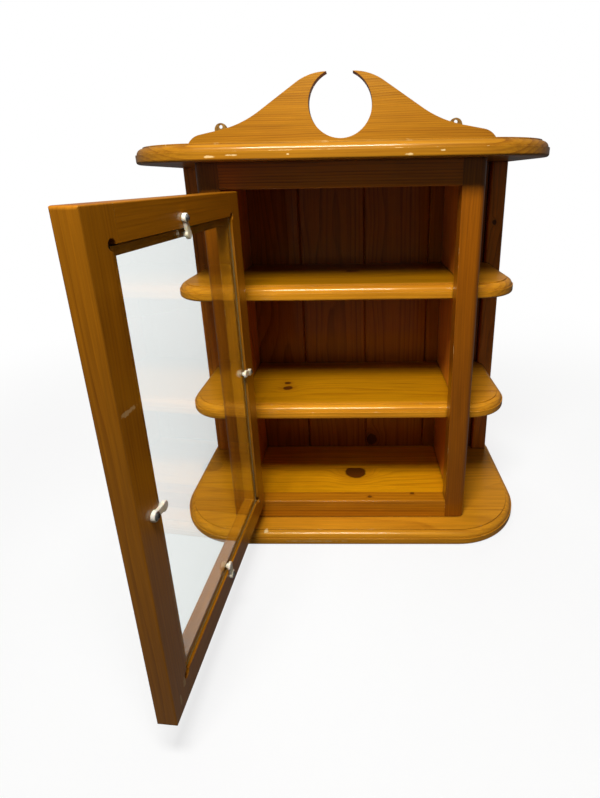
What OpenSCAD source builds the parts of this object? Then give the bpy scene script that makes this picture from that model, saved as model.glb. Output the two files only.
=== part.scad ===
// Pine display case: a glazed cupboard on a moulded base, with open side shelves and a swan-neck crest.
// Millimetres. +X is to the right, +Y to the wall and +Z up; the origin is the centre of the base's underside.

/* [Boards] */
// Thickness of the base, shelf and top boards
board_t = 19; // [16:0.5:25]
// Width of the base board
base_w = 503; // [480:1:560]
// Depth of the base board, from its front edge to the wall
base_d = 223; // [200:1:260]
// Distance that the base stands out in front of the face frame
base_lip = 33; // [20:1:45]
// Radius of the base board's front corners
base_corner_r = 98; // [30:1:110]
// Width of the top board
top_w = 503; // [470:1:560]
// Distance that the top stands out in front of the face frame
top_lip = 33; // [20:1:45]
// Radius of the top board's front corners
top_corner_r = 98; // [30:1:110]
// Width of the shelves over both wings
shelf_w = 461; // [440:1:475]
// Distance of the shelves' front edge behind the front of the face frame
shelf_setback = 22; // [21:0.5:30]
// Radius of the shelves' front corners
shelf_corner_r = 57; // [20:1:60]
// Height of the lower shelf's top face above the base's underside
lower_shelf_z = 184.5; // [150:0.5:220]
// Height of the upper shelf's top face above the base's underside
upper_shelf_z = 355.5; // [320:0.5:390]

/* [Moulded edge] */
// Height of the small step under a board's flat top face
edge_step = 1.5; // [1:0.1:2.5]
// Radius of the quarter round
edge_round = 7.5; // [5:0.5:9]
// Width of the quirk at the foot of the quarter round
edge_quirk = 1.5; // [1:0.1:2.5]
// Radius that eases the lower arris
edge_arris = 3; // [1:0.5:4]

/* [Face frame] */
// Width over the two stiles
case_w = 334; // [300:1:360]
// Height of the case between the base and the top
case_h = 487; // [450:1:540]
// Thickness of the stiles and rails
frame_t = 20; // [18:0.5:24]
// Width of a stile
stile_w = 28; // [26:1:36]
// Radius on the outer front arris of a stile
stile_round = 9; // [3:0.5:12]
// Height of the top rail
top_rail_h = 30; // [24:1:45]
// Height of the bottom rail
bottom_rail_h = 27; // [24:1:45]
// Radius that eases the arris of a rail or a door edge
arris_r = 1.2; // [0.6:0.1:2]

/* [Sides and back] */
// Thickness of the case's side panels
panel_t = 12; // [9:0.5:16]
// Distance of a side panel inside the stile's outer edge
panel_inset = 3; // [1:0.5:6]
// Width of a back post
post_w = 24; // [18:1:32]
// Depth of a back post
post_t = 19; // [15:0.5:25]
// Distance of a back post inside the base's side
post_inset = 8.5; // [5:0.5:12]
// Radius on the front arrises of a back post
post_round = 3; // [1:0.5:5]
// Thickness of the tongued back boards
back_t = 10; // [8:0.5:13]
// Width of a full back board between its joints
back_board_w = 102; // [92:1:112]
// Width of the first back board, at the left
first_board_w = 44; // [30:1:60]
// Depth of a back board's tongue
tongue_w = 5; // [3:0.5:7]
// Thickness of a back board's tongue
tongue_t = 3; // [2:0.2:4]
// Width of the bevel along a back board's front arrises
bevel_w = 2; // [1:0.2:3]
// Clearance between neighbouring back boards
board_gap = 0.2; // [0.1:0.1:0.5]

/* [Crest] */
// Thickness of the crest
crest_t = 18; // [15:0.5:22]
// Width of the crest over its ends
crest_w = 461; // [440:1:480]
// Height of the crest
crest_h = 106; // [98:1:114]
// Sideways place of the crest's middle
crest_shift = -4; // [-8:0.5:8]
// Radius of the round cut-out between the horns
crest_hole_r = 46; // [42:1:50]
// Distance of the cut-out's centre below the tops of the horns
crest_hole_drop = 42; // [39:0.5:45]
// Distance of a horn's highest point from the crest's middle
horn_x = 19; // [17:1:24]
// Radius of a horn's rounded back
horn_r = 80; // [70:1:90]
// Length of the straight stretch of the neck
neck_len = 66; // [55:1:75]
// Slope of the shoulder in degrees
shoulder_slope = 11; // [8:1:14]
// Length of the straight stretch of the shoulder
shoulder_len = 32; // [25:1:40]
// Radius of the rounded end of the shoulder
end_r = 27; // [22:1:30]
// Distance of the crest's two screws from its ends
crest_screw_inset = 70; // [50:1:90]
// Depth of the crest's screws in the crest
crest_screw_bite = 16; // [12:1:20]

/* [Door] */
// Angle that the door stands open at rest
door_open = 94; // [60:1:120]
// Thickness of the door frame
door_t = 18; // [16:0.5:19]
// Gap round the closed door
door_gap = 1.5; // [1.2:0.1:3]
// Radius of the door's corners, seen from the front
door_corner_r = 2.5; // [1.5:0.5:6]
// Width of the door's stiles and rails
member_w = 34; // [32:1:42]
// Width of the rebate for the glass
rebate_w = 8; // [6:0.5:9]
// Depth of the rebate for the glass
rebate_d = 5.5; // [5:0.1:6.5]
// Radius of the round clearance cut at each corner of the rebate
relief_r = 4.2; // [3:0.1:5]
// Thickness of the glass
glass_t = 3; // [2.5:0.5:4]
// Clearance round the glass
glass_gap = 1; // [0.5:0.1:2]

/* [Glass clips] */
// Radius of a clip's round ends
clip_r = 4.4; // [4:0.1:5]
// Width of a clip's waist
clip_waist = 6.5; // [5:0.5:8]
// Height of a clip's boss above the door frame
clip_boss_t = 3.4; // [3.2:0.1:4.2]
// Height of a clip's waist and pad end above the door frame
clip_t = 2.8; // [2.2:0.1:3.2]
// Radius along a clip's upper edges
clip_edge_r = 1; // [0.6:0.1:1.4]
// Distance from a clip's screw to the middle of its pad
clip_reach = 14; // [14:0.5:18]
// Radius of the pad that presses on the glass
clip_pad_r = 2.4; // [1.8:0.1:2.6]
// Distance of a clip's screw from the edge of the rebate
clip_edge = 8; // [7:0.5:8]
// Distance of the top rail's clip from the middle of the door, towards the free stile
top_clip_shift = 7; // [0:1:20]
// Distance of the free stile's clip below the middle of the door
free_clip_drop = 13; // [0:1:20]
// Distance of the hinge stile's clip below the middle of the door
hinge_clip_drop = 3; // [0:1:20]
// Turn of the top rail's clip out of square, seen from the inner face, in degrees
top_clip_tilt = -13; // [-30:1:30]
// Turn of the bottom rail's clip out of square, in degrees
bottom_clip_tilt = -10; // [-30:1:30]
// Turn of the free stile's clip out of square, in degrees
free_clip_tilt = 10; // [-30:1:30]
// Turn of the hinge stile's clip out of square, in degrees
hinge_clip_tilt = 15; // [-30:1:30]
// Radius of a clip screw's head
clip_head_r = 3.4; // [2.8:0.1:3.8]
// Height of a clip screw's head
clip_head_h = 1.8; // [1.4:0.1:2.4]

/* [Hinges] */
// Height of a hinge
hinge_h = 30; // [25:1:40]
// Width of a hinge leaf from the pin's axis
leaf_w = 9.5; // [9:0.5:12]
// Thickness of a hinge leaf
leaf_t = 1.2; // [1:0.1:1.6]
// Radius of a hinge knuckle
knuckle_r = 2.4; // [2.2:0.1:3]
// Radius of a hinge pin
hinge_pin_r = 1.1; // [0.9:0.05:1.3]
// Radial play of a pin in its knuckles
pin_play = 0.05; // [0.02:0.01:0.08]
// Distance from each end of the door to the middle of its hinge
hinge_end = 58; // [45:1:90]
// Distance between a hinge leaf's two screws
leaf_screw_pitch = 18; // [14:1:20]

/* [Mirror plates] */
// Distance of the left mirror plate from the middle of the case
left_plate_x = 184; // [165:1:190]
// Distance of the right mirror plate from the middle of the case
right_plate_x = 166; // [150:1:180]
// Thickness of a mirror plate
plate_t = 1.5; // [1.2:0.1:2]
// Width of a mirror plate's bar
plate_w = 38; // [34:1:44]
// Height of a mirror plate's bar
plate_h = 13; // [11:1:15]
// Distance of a mirror plate's screws from the ends of its bar
plate_screw_edge = 4.5; // [3.5:0.5:6]
// Depth that the round lobe laps over the bar
plate_lap = 3; // [2:0.5:5]
// Radius of a mirror plate's round lobe
lobe_r = 9.8; // [8:0.2:11]
// Height of the lobe's centre above the top board
lobe_z = 34; // [32:0.5:37]
// Radius of the wall screw hole
wall_hole_r = 2.6; // [2:0.1:3]
// Rise of the wall screw hole above the lobe's centre
wall_hole_rise = 4.5; // [3:0.5:5]

/* [Fixings] */
// Radius of a dowel
dowel_r = 3; // [2.5:0.5:4]
// Depth of a dowel in an upright or a board
dowel_bite = 11; // [8:1:13]
// Depth of a dowel in the end of a rail
dowel_end_bite = 18; // [14:1:24]
// Distance of a rail's dowels from its edges
dowel_edge = 8; // [6:0.5:9]
// Distance between the two dowels at each end of a door rail
door_dowel_pitch = 12; // [10:0.5:13]
// Distance of a side panel's dowels from its front and back edges
dowel_inset = 25; // [15:1:40]
// Distance of a stile's end fixings from its outer edge
stile_fix_edge = 9; // [7:0.5:11]
// Clearance round dowels and screws in their holes
hole_gap = 0.05; // [0.02:0.01:0.1]
// Radius of the carcass screws
screw_r = 2; // [1.5:0.1:2.5]
// Length of the carcass screws
screw_len = 45; // [40:1:55]
// Radius of the small screws in clips, hinges and plates
small_screw_r = 1.3; // [1:0.1:1.5]
// Length of the small screws in the wood
small_screw_len = 9; // [7:0.5:11]
// Reach of a screw's cross recess, as a share of its head's radius
recess_reach = 0.55; // [0.4:0.05:0.7]
// Width of a cross recess
recess_w = 0.9; // [0.6:0.1:1.2]
// Depth of a cross recess
recess_depth = 0.9; // [0.5:0.1:1.2]
// Thinnest air between parts that move past each other
air = 0.3; // [0.2:0.05:0.5]

/* [Hidden] */
$fn = 64;

honey_pine = "#b8741f";
shaded_pine = "#8a5220";
pale_pine = "#c98f3f";
beech = "#d8b888";
brass = "#b59a4a";
steel = "#a8a8a4";
cream = "#e8e2c8";
clear_glass = "#a9c4b8";

// Main planes
wall_y = base_d / 2;
face_y = base_lip - base_d / 2;
floor_z = board_t;
ceiling_z = floor_z + case_h;
crest_z = ceiling_z + board_t;
back_y = wall_y - back_t;
post_y = wall_y - post_t;
frame_back_y = face_y + frame_t;
post_x = base_w / 2 - post_inset;
back_half_w = post_x - post_w;
back_joints = [
    -back_half_w,
    for (i = [0:3]) first_board_w + i * back_board_w - back_half_w,
    back_half_w
];
panel_x = case_w / 2 - panel_inset;
eps = 0.01;

// Opening and door
opening_w = case_w - 2 * stile_w;
opening_h = case_h - top_rail_h - bottom_rail_h;
door_w = opening_w - 2 * door_gap;
door_h = opening_h - 2 * door_gap;
door_z = floor_z + bottom_rail_h + door_gap;
sight = member_w - rebate_w;
lip_t = door_t - rebate_d;
glass_sink = rebate_d - glass_t;

// Hinge pin, in front of the gap between the stile and the door
pin_stand = knuckle_r + air;
pin_x = door_gap / 2 - opening_w / 2;
pin_y = face_y - pin_stand;
hinge_low_z = door_z + hinge_end - hinge_h / 2;
hinge_high_z = door_z + door_h - hinge_end - hinge_h / 2;
leaf_screw_x = (knuckle_r + air + leaf_w) / 2;
leaf_screw_z = [(hinge_h - leaf_screw_pitch) / 2, (hinge_h + leaf_screw_pitch) / 2];

// Door's edges and inner face, measured from the pin
hinge_edge = door_gap / 2;
free_edge = hinge_edge + door_w;
inner_y = pin_stand + door_t;

// Clip screws on the door's inner face: [x, z, direction of the pad in degrees]
clip_lift = air / 2;
clip_in = sight - clip_edge;
clip_mid_x = hinge_edge + door_w / 2;
clip_mid_z = door_z + door_h / 2;
top_clip_at = [clip_mid_x + top_clip_shift, door_z + door_h - clip_in, top_clip_tilt - 90];
bottom_clip_at = [clip_mid_x, door_z + clip_in, bottom_clip_tilt + 90];
free_clip_at = [free_edge - clip_in, clip_mid_z - free_clip_drop, free_clip_tilt + 180];
hinge_clip_at = [hinge_edge + clip_in, clip_mid_z - hinge_clip_drop, hinge_clip_tilt];

// Mirror plates
plate_x = [-left_plate_x, right_plate_x];
plate_screw_x = plate_w / 2 - plate_screw_edge;
plate_bar_y = -lobe_r - plate_h / 2 + plate_lap;

// Heights of the dowels: in the door from its end, in the face frame from the floor
door_dowel_z = [dowel_edge, dowel_edge + door_dowel_pitch];
frame_dowel_z = [
    dowel_edge, bottom_rail_h - dowel_edge,
    case_h - top_rail_h + dowel_edge, case_h - dowel_edge
];

// Carcass screw and dowel places in plan
stile_fix_x = case_w / 2 - stile_fix_edge;
frame_mid_y = face_y + frame_t / 2;
post_mid_x = post_x - post_w / 2;
post_mid_y = wall_y - post_t / 2;
upright_places = [
    [-stile_fix_x, frame_mid_y], [stile_fix_x, frame_mid_y],
    [-post_mid_x, post_mid_y], [post_mid_x, post_mid_y]
];
panel_dowel_x = panel_x - panel_t / 2;
panel_dowel_y = [frame_back_y + dowel_inset, back_y - dowel_inset];
// Lower and upper end of the dowels at each board that the side panels meet
panel_dowel_z = [
    [floor_z - dowel_bite, floor_z + dowel_bite],
    [lower_shelf_z - board_t - dowel_bite, lower_shelf_z + dowel_bite],
    [upper_shelf_z - board_t - dowel_bite, upper_shelf_z + dowel_bite],
    [ceiling_z - dowel_bite, ceiling_z + dowel_bite]
];
crest_screw_x = [for (side = [-1, 1]) crest_shift + side * (crest_w / 2 - crest_screw_inset)];
crest_mid_y = wall_y - crest_t / 2;
crest_screw_len = board_t + crest_screw_bite;

// Shapes that repeat

// Block between two corners
module block(low, high) {
    translate(low) cube(high - low);
}

// Countersunk screw, its head's flat face at z = 0 and its shank down -Z
module sunk_screw(r, len) {
    difference() {
        translate([0, 0, -r]) cylinder(r1 = r, r2 = 2 * r, h = r);
        cross_recess(2 * r);
    }
    translate([0, 0, -len]) cylinder(r = r, h = len - r + eps);
}

// Cross recess in a screw's head, its top at z = 0
module cross_recess(head_r) {
    reach = recess_reach * head_r;
    for (turn = [0, 90]) rotate([0, 0, turn])
        translate([-reach, -recess_w / 2, -recess_depth]) cube([2 * reach, recess_w, recess_depth + 1]);
}

// Hole that takes a countersunk screw
module sunk_hole(r, len) {
    translate([0, 0, -r]) cylinder(r1 = r + hole_gap, r2 = 2 * r + hole_gap, h = r);
    translate([0, 0, -len - hole_gap]) cylinder(r = r + hole_gap, h = len + hole_gap - r + eps);
    cylinder(r = 2 * r + hole_gap, h = 1);
}

// Section of a moulded board edge: flat top, step, quarter round, quirk and eased land
module edge_section(reach) {
    land = board_t - edge_step - edge_round;
    shoulder = reach - edge_quirk - edge_round;
    square([shoulder, board_t]);
    square([reach - edge_arris, land]);
    translate([0, edge_arris]) square([reach, land - edge_arris]);
    translate([reach - edge_arris, edge_arris]) circle(edge_arris);
    translate([shoulder, land]) intersection() {
        circle(edge_round);
        square(edge_round);
    }
}

// Board with moulded front and sides and round front corners; front edge at y = 0, back edge at y = d
module moulded_board(w, d, r) {
    half = w / 2 - r;
    for (side = [-1, 1])
        translate([side * half, r, 0]) rotate([0, 0, side > 0 ? -90 : 180])
            rotate_extrude(angle = 90) edge_section(r);
    translate([half, r, 0]) rotate([90, 0, -90]) linear_extrude(2 * half) edge_section(r);
    for (side = [0, 1])
        mirror([side, 0, 0]) translate([half, d, 0]) rotate([90, 0, 0]) linear_extrude(d - r) edge_section(r);
    block([-half, r, 0], [half, d, board_t]);
}

// Rectangle with the two corners at y = 0 eased
module eased_front(w, t, r) {
    translate([r, 0]) square([w - 2 * r, t]);
    translate([0, r]) square([w, t - r]);
    for (x = [r, w - r]) translate([x, r]) circle(r);
}

// Rectangle with all four corners eased
module eased_rect(w, h, r) {
    translate([r, 0]) square([w - 2 * r, h]);
    translate([0, r]) square([w, h - 2 * r]);
    for (x = [r, w - r], y = [r, h - r]) translate([x, y]) circle(r);
}

// Dowel along X, through a joint at x = 0: out to -X by one depth and to +X by the other
module cross_dowel(back, ahead, gap) {
    translate([-back - gap, 0, 0]) rotate([0, 90, 0])
        cylinder(r = dowel_r + gap, h = back + ahead + 2 * gap);
}

// Carcass boards

module base_board() {
    color(honey_pine) difference() {
        translate([0, -base_d / 2, 0]) moulded_board(base_w, base_d, base_corner_r);
        upright_holes();
        panel_dowel_set(hole_gap);
    }
}

module top_board() {
    color(honey_pine) difference() {
        translate([0, face_y - top_lip, ceiling_z]) moulded_board(top_w, wall_y - face_y + top_lip, top_corner_r);
        upright_holes();
        panel_dowel_set(hole_gap);
        for (x = crest_screw_x) translate([x, crest_mid_y, ceiling_z])
            rotate([180, 0, 0]) sunk_hole(screw_r, crest_screw_len);
    }
}

module shelf(top_z) {
    front_y = face_y + shelf_setback;
    color(pale_pine) difference() {
        translate([0, front_y, top_z - board_t]) moulded_board(shelf_w, back_y - front_y, shelf_corner_r);
        for (side = [0, 1]) mirror([side, 0, 0])
            block([back_half_w, post_y, top_z - board_t - 1], [base_w, wall_y, top_z + 1]);
        panel_dowel_set(hole_gap);
    }
}

// Face frame

// Stile on the right: rounded outer front arris
module stile_section() {
    square([stile_w - stile_round, frame_t]);
    translate([0, stile_round]) square([stile_w, frame_t - stile_round]);
    translate([stile_w - stile_round, stile_round]) circle(stile_round);
}

module right_stile_blank() {
    difference() {
        translate([opening_w / 2, face_y, floor_z]) linear_extrude(case_h) stile_section();
        frame_dowels(hole_gap);
        upright_holes();
    }
}

module right_stile() {
    color(shaded_pine) right_stile_blank();
}

module left_stile() {
    color(shaded_pine) difference() {
        mirror([1, 0, 0]) right_stile_blank();
        for (z = [hinge_low_z, hinge_high_z]) translate([pin_x, pin_y, z]) mirror([1, 0, 0]) leaf_screw_holes();
    }
}

// Rails between the stiles: the arrises at the opening are eased

module top_rail() {
    color(shaded_pine) difference() {
        translate([-opening_w / 2, face_y, ceiling_z - top_rail_h]) rotate([90, 0, 90]) linear_extrude(opening_w)
            eased_front(frame_t, top_rail_h, arris_r);
        frame_dowels(hole_gap);
    }
}

module bottom_rail() {
    color(shaded_pine) difference() {
        translate([-opening_w / 2, face_y, floor_z + bottom_rail_h]) rotate([90, 0, 90]) linear_extrude(opening_w)
            mirror([0, 1]) eased_front(frame_t, bottom_rail_h, arris_r);
        frame_dowels(hole_gap);
    }
}

// Dowels between the stiles and the rails, or their holes
module frame_dowels(gap) {
    for (side = [0, 1], z = frame_dowel_z)
        mirror([side, 0, 0]) translate([opening_w / 2, frame_mid_y, floor_z + z])
            cross_dowel(dowel_end_bite, dowel_bite, gap);
}

module face_frame_dowels() {
    color(beech) frame_dowels(0);
}

// Fixings of the uprights

module base_screws() {
    color(steel) for (p = upright_places) translate([p[0], p[1], 0]) rotate([180, 0, 0])
        sunk_screw(screw_r, screw_len);
}

// Dowels between the uprights and the top board, or their holes
module top_dowel_set(gap) {
    for (p = upright_places) translate([p[0], p[1], ceiling_z - dowel_end_bite - gap])
        cylinder(r = dowel_r + gap, h = dowel_end_bite + dowel_bite + 2 * gap);
}

module top_dowels() {
    color(beech) top_dowel_set(0);
}

// Holes that the base screws and the top dowels need in the boards, stiles and posts
module upright_holes() {
    for (p = upright_places) translate([p[0], p[1], 0]) rotate([180, 0, 0]) sunk_hole(screw_r, screw_len);
    top_dowel_set(hole_gap);
}

// Dowels that carry the boards on the side panels, right through the shelves, or their holes
module panel_dowel_set(gap) {
    for (side = [-1, 1], y = panel_dowel_y, z = panel_dowel_z)
        translate([side * panel_dowel_x, y, z[0] - gap])
            cylinder(r = dowel_r + gap, h = z[1] - z[0] + 2 * gap);
}

module panel_dowels() {
    color(beech) panel_dowel_set(0);
}

// Sides and back

// Side panel in one bay; side is -1 for the left and 1 for the right
module side_panel(side, low_z, high_z) {
    color(shaded_pine) difference() {
        mirror([side < 0 ? 1 : 0, 0, 0])
            block([panel_x - panel_t, frame_back_y, low_z], [panel_x, back_y, high_z]);
        panel_dowel_set(hole_gap);
    }
}

module post(side) {
    color(shaded_pine) difference() {
        mirror([side < 0 ? 1 : 0, 0, 0]) translate([back_half_w, post_y, floor_z])
            linear_extrude(case_h) eased_front(post_w, post_t, post_round);
        upright_holes();
    }
}

// Tongued board number k, counted from the left
module back_board(k) {
    w = back_joints[k] - back_joints[k - 1] - board_gap;
    last = len(back_joints) - 1;
    color(shaded_pine) translate([back_joints[k - 1] + board_gap / 2, back_y, floor_z])
        linear_extrude(case_h) difference() {
            union() {
                square([w, back_t]);
                if (k < last) translate([w - eps, (back_t - tongue_t) / 2]) square([tongue_w + eps, tongue_t]);
            }
            for (x = [0, w]) translate([x, 0]) rotate(45)
                square(bevel_w * sqrt(2), center = true);
            if (k > 1) translate([-eps, (back_t - tongue_t) / 2 - board_gap])
                square([tongue_w + board_gap + eps, tongue_t + 2 * board_gap]);
        }
}

// Crest

// Points along an arc, from angle a to angle b in degrees
function arc(c, r, a, b, n = 12) = [
    for (i = [0:n]) let (t = a + (b - a) * i / n) [c[0] + r * cos(t), c[1] + r * sin(t)]
];

// Right half of the swan-neck outline: horn, straight neck, hollow, shoulder and rounded end.
// The neck's slope and the hollow's radius are what lets the straight stretches meet the arcs smoothly.
function crest_half() =
    let (
        along = [cos(shoulder_slope), -sin(shoulder_slope)],
        up = [sin(shoulder_slope), cos(shoulder_slope)],
        end_c = [crest_w / 2 - end_r, 0],
        hollow_end = end_c + end_r * up - shoulder_len * along,
        horn_c = [horn_x, crest_h - horn_r],
        span = hollow_end - (horn_c + horn_r * up),
        run = span * along,
        drop = -span * up,
        bend = 2 * atan2(drop, run + neck_len),
        neck_slope = shoulder_slope + bend,
        hollow_r = (run - neck_len * cos(bend)) / sin(bend) - horn_r,
        hollow_c = hollow_end + hollow_r * up
    )
    concat(
        arc(horn_c, horn_r, 90, 90 - neck_slope),
        arc(hollow_c, hollow_r, 270 - neck_slope, 270 - shoulder_slope),
        arc(end_c, end_r, 90 - shoulder_slope, 0)
    );

module crest() {
    half = crest_half();
    outline = concat(half, [for (i = [len(half) - 1:-1:0]) [-half[i][0], half[i][1]]]);
    color(honey_pine) difference() {
        translate([crest_shift, wall_y, crest_z]) rotate([90, 0, 0]) linear_extrude(crest_t) difference() {
            polygon(outline);
            translate([0, crest_h - crest_hole_drop]) circle(crest_hole_r);
        }
        for (x = crest_screw_x) translate([x, crest_mid_y, ceiling_z])
            rotate([180, 0, 0]) sunk_hole(screw_r, crest_screw_len);
        for (x = plate_x) plate_place(x) plate_recess();
    }
}

module crest_screws() {
    color(steel) for (x = crest_screw_x) translate([x, crest_mid_y, ceiling_z]) rotate([180, 0, 0])
        sunk_screw(screw_r, crest_screw_len);
}

// Mirror plates

// Plate frame: x along the bar, y up from the lobe's centre, z out of the back towards the wall
module plate_place(x) {
    translate([x, wall_y, crest_z + lobe_z]) rotate([90, 0, 180]) children();
}

module plate_outline(gap) {
    translate([-plate_w / 2 - gap, plate_bar_y - plate_h / 2 - gap]) square([plate_w + 2 * gap, plate_h + 2 * gap]);
    circle(lobe_r + gap);
    translate([-lobe_r - gap, plate_bar_y]) square([2 * lobe_r + 2 * gap, -plate_bar_y]);
}

module plate_recess() {
    translate([0, 0, -plate_t]) linear_extrude(plate_t + 1) plate_outline(board_gap);
    plate_screw_places() sunk_hole(small_screw_r, small_screw_len);
}

module plate_screw_places() {
    for (x = [-plate_screw_x, plate_screw_x]) translate([x, plate_bar_y, 0]) children();
}

module mirror_plate(x) {
    color(brass) plate_place(x) difference() {
        translate([0, 0, -plate_t]) linear_extrude(plate_t) plate_outline(0);
        translate([0, wall_hole_rise, -plate_t - 1]) cylinder(r = wall_hole_r, h = plate_t + 2);
        plate_screw_places() sunk_hole(small_screw_r, small_screw_len);
    }
}

module plate_screws() {
    color(steel) for (x = plate_x) plate_place(x) plate_screw_places()
        sunk_screw(small_screw_r, small_screw_len);
}

// Door: built closed about the hinge pin and swung open

// Door frame of reference: x from the hinge pin along the door, y from the pin to the back, z as in the case
module swung() {
    translate([pin_x, pin_y, 0]) rotate([0, 0, -door_open]) children();
}

// Rebate on the inner face with a round clearance at each corner
module rebate() {
    low = [hinge_edge + sight, pin_stand + lip_t, door_z + sight];
    high = [free_edge - sight, inner_y + 1, door_z + door_h - sight];
    block(low, high);
    for (x = [low[0], high[0]], z = [low[2], high[2]]) translate([x, low[1], z]) rotate([-90, 0, 0])
        cylinder(r = relief_r, h = rebate_d + 1);
}

// The whole door as one board: rounded corners, eased arrises along the edges
module door_blank() {
    intersection() {
        translate([hinge_edge, inner_y, door_z]) rotate([90, 0, 0]) linear_extrude(door_t)
            eased_rect(door_w, door_h, door_corner_r);
        translate([hinge_edge, pin_stand, door_z]) linear_extrude(door_h) eased_rect(door_w, door_t, arris_r);
        translate([hinge_edge, pin_stand, door_z]) rotate([90, 0, 90]) linear_extrude(door_w)
            eased_rect(door_t, door_h, arris_r);
    }
}

// Piece of the door frame: what a block between two corners holds of the rebated and drilled door
module door_member(low, high) {
    difference() {
        intersection() {
            door_blank();
            block([low[0], pin_stand - 1, low[1]], [high[0], inner_y + 1, high[1]]);
        }
        rebate();
        door_dowel_set(hole_gap);
        clip_screw_set(hole_gap);
    }
}

module door_hinge_stile() {
    color(honey_pine) swung() difference() {
        door_member([hinge_edge, door_z], [hinge_edge + member_w, door_z + door_h]);
        for (z = [hinge_low_z, hinge_high_z]) translate([0, 0, z]) leaf_screw_holes();
    }
}

module door_free_stile() {
    color(honey_pine) swung()
        door_member([free_edge - member_w, door_z], [free_edge, door_z + door_h]);
}

module door_top_rail() {
    color(honey_pine) swung() door_member(
        [hinge_edge + member_w, door_z + door_h - member_w], [free_edge - member_w, door_z + door_h]
    );
}

module door_bottom_rail() {
    color(honey_pine) swung()
        door_member([hinge_edge + member_w, door_z], [free_edge - member_w, door_z + member_w]);
}

// Dowels between the door's uprights and cross-pieces, or their holes
module door_dowel_set(gap) {
    for (z = concat(door_dowel_z, [for (t = door_dowel_z) door_h - t])) {
        translate([hinge_edge + member_w, pin_stand + lip_t / 2, door_z + z])
            cross_dowel(dowel_bite, dowel_end_bite, gap);
        translate([free_edge - member_w, pin_stand + lip_t / 2, door_z + z])
            cross_dowel(dowel_end_bite, dowel_bite, gap);
    }
}

module door_dowels() {
    color(beech) swung() door_dowel_set(0);
}

module glass_pane() {
    inset = sight + glass_gap;
    color(clear_glass, 0.4) swung() block(
        [hinge_edge + inset, pin_stand + lip_t, door_z + inset],
        [free_edge - inset, pin_stand + lip_t + glass_t, door_z + door_h - inset]
    );
}

// Glass clips

// Clip frame: x towards the pad, z out of the door's inner face
module clip_place(at) {
    swung() translate([at[0], inner_y, at[1]]) rotate([-90, 0, 0]) rotate([0, 0, -at[2]]) children();
}

// Round button of a clip with a rounded upper edge
module clip_button(r, h) {
    translate([0, 0, clip_lift]) rotate_extrude() {
        square([r - clip_edge_r, h - clip_lift]);
        square([r, h - clip_lift - clip_edge_r]);
        translate([r - clip_edge_r, h - clip_lift - clip_edge_r]) intersection() {
            circle(clip_edge_r);
            square(clip_edge_r);
        }
    }
}

// Offset turn clip: boss on the door frame, waist, and an end whose pad reaches down to the glass
module clip(at) {
    color(cream) clip_place(at) difference() {
        union() {
            clip_button(clip_r, clip_boss_t);
            translate([clip_reach, 0, 0]) clip_button(clip_r, clip_t);
            translate([0, -clip_waist / 2, clip_t]) rotate([-90, 0, -90]) mirror([1, 0, 0])
                linear_extrude(clip_reach) eased_front(clip_waist, clip_t - clip_lift, clip_edge_r);
            translate([clip_reach, 0, clip_lift - glass_sink])
                cylinder(r = clip_pad_r, h = glass_sink + eps);
        }
        translate([0, 0, -1]) cylinder(r = small_screw_r + pin_play, h = clip_boss_t + 2);
    }
}

// Round-headed screw of a clip, its head just clear of the boss
module clip_screw() {
    head_z = clip_boss_t + clip_lift;
    dome_r = (clip_head_r * clip_head_r + clip_head_h * clip_head_h) / (2 * clip_head_h);
    translate([0, 0, -small_screw_len]) cylinder(r = small_screw_r, h = small_screw_len + head_z + eps);
    translate([0, 0, head_z]) difference() {
        rotate_extrude() intersection() {
            translate([0, clip_head_h - dome_r]) circle(dome_r);
            square([clip_head_r, clip_head_h]);
        }
        translate([0, 0, clip_head_h]) cross_recess(clip_head_r);
    }
}

module clip_screws() {
    color(steel) for (at = [top_clip_at, bottom_clip_at, free_clip_at, hinge_clip_at])
        clip_place(at) clip_screw();
}

// Holes of the clip screws, in the closed door
module clip_screw_set(gap) {
    for (at = [top_clip_at, bottom_clip_at, free_clip_at, hinge_clip_at])
        translate([at[0], inner_y + 1, at[1]]) rotate([90, 0, 0])
            cylinder(r = small_screw_r + gap, h = small_screw_len + 1 + gap);
}

// Hinges

// Leaf about the pin's axis; the wood's face is at y = pin_stand and the leaf runs to +X
module leaf(turns) {
    third = hinge_h / 3;
    spans = turns ? [[third + air / 2, 2 * third - air / 2]]
                  : [[0, third - air / 2], [2 * third + air / 2, hinge_h]];
    difference() {
        union() {
            block([pin_stand, pin_stand - leaf_t, 0], [leaf_w, pin_stand, hinge_h]);
            for (s = spans) {
                translate([0, 0, s[0]]) cylinder(r = knuckle_r, h = s[1] - s[0]);
                block([0, pin_stand - leaf_t, s[0]], [pin_stand + eps, pin_stand, s[1]]);
            }
        }
        translate([0, 0, -1]) cylinder(r = hinge_pin_r + pin_play, h = hinge_h + 2);
        leaf_screw_holes();
    }
}

// Screw places of a leaf: z comes out of the leaf's face
module leaf_screw_places() {
    for (z = leaf_screw_z) translate([leaf_screw_x, pin_stand - leaf_t, z]) rotate([90, 0, 0]) children();
}

module leaf_screw_holes() {
    leaf_screw_places() sunk_hole(small_screw_r, small_screw_len);
}

module frame_leaf(z) {
    color(brass) translate([pin_x, pin_y, z]) mirror([1, 0, 0]) leaf(false);
}

module door_leaf(z) {
    color(brass) swung() translate([0, 0, z]) leaf(true);
}

module frame_leaf_screws() {
    color(brass) for (z = [hinge_low_z, hinge_high_z]) translate([pin_x, pin_y, z]) mirror([1, 0, 0])
        leaf_screw_places() sunk_screw(small_screw_r, small_screw_len);
}

module door_leaf_screws() {
    color(brass) swung() for (z = [hinge_low_z, hinge_high_z]) translate([0, 0, z])
        leaf_screw_places() sunk_screw(small_screw_r, small_screw_len);
}

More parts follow.
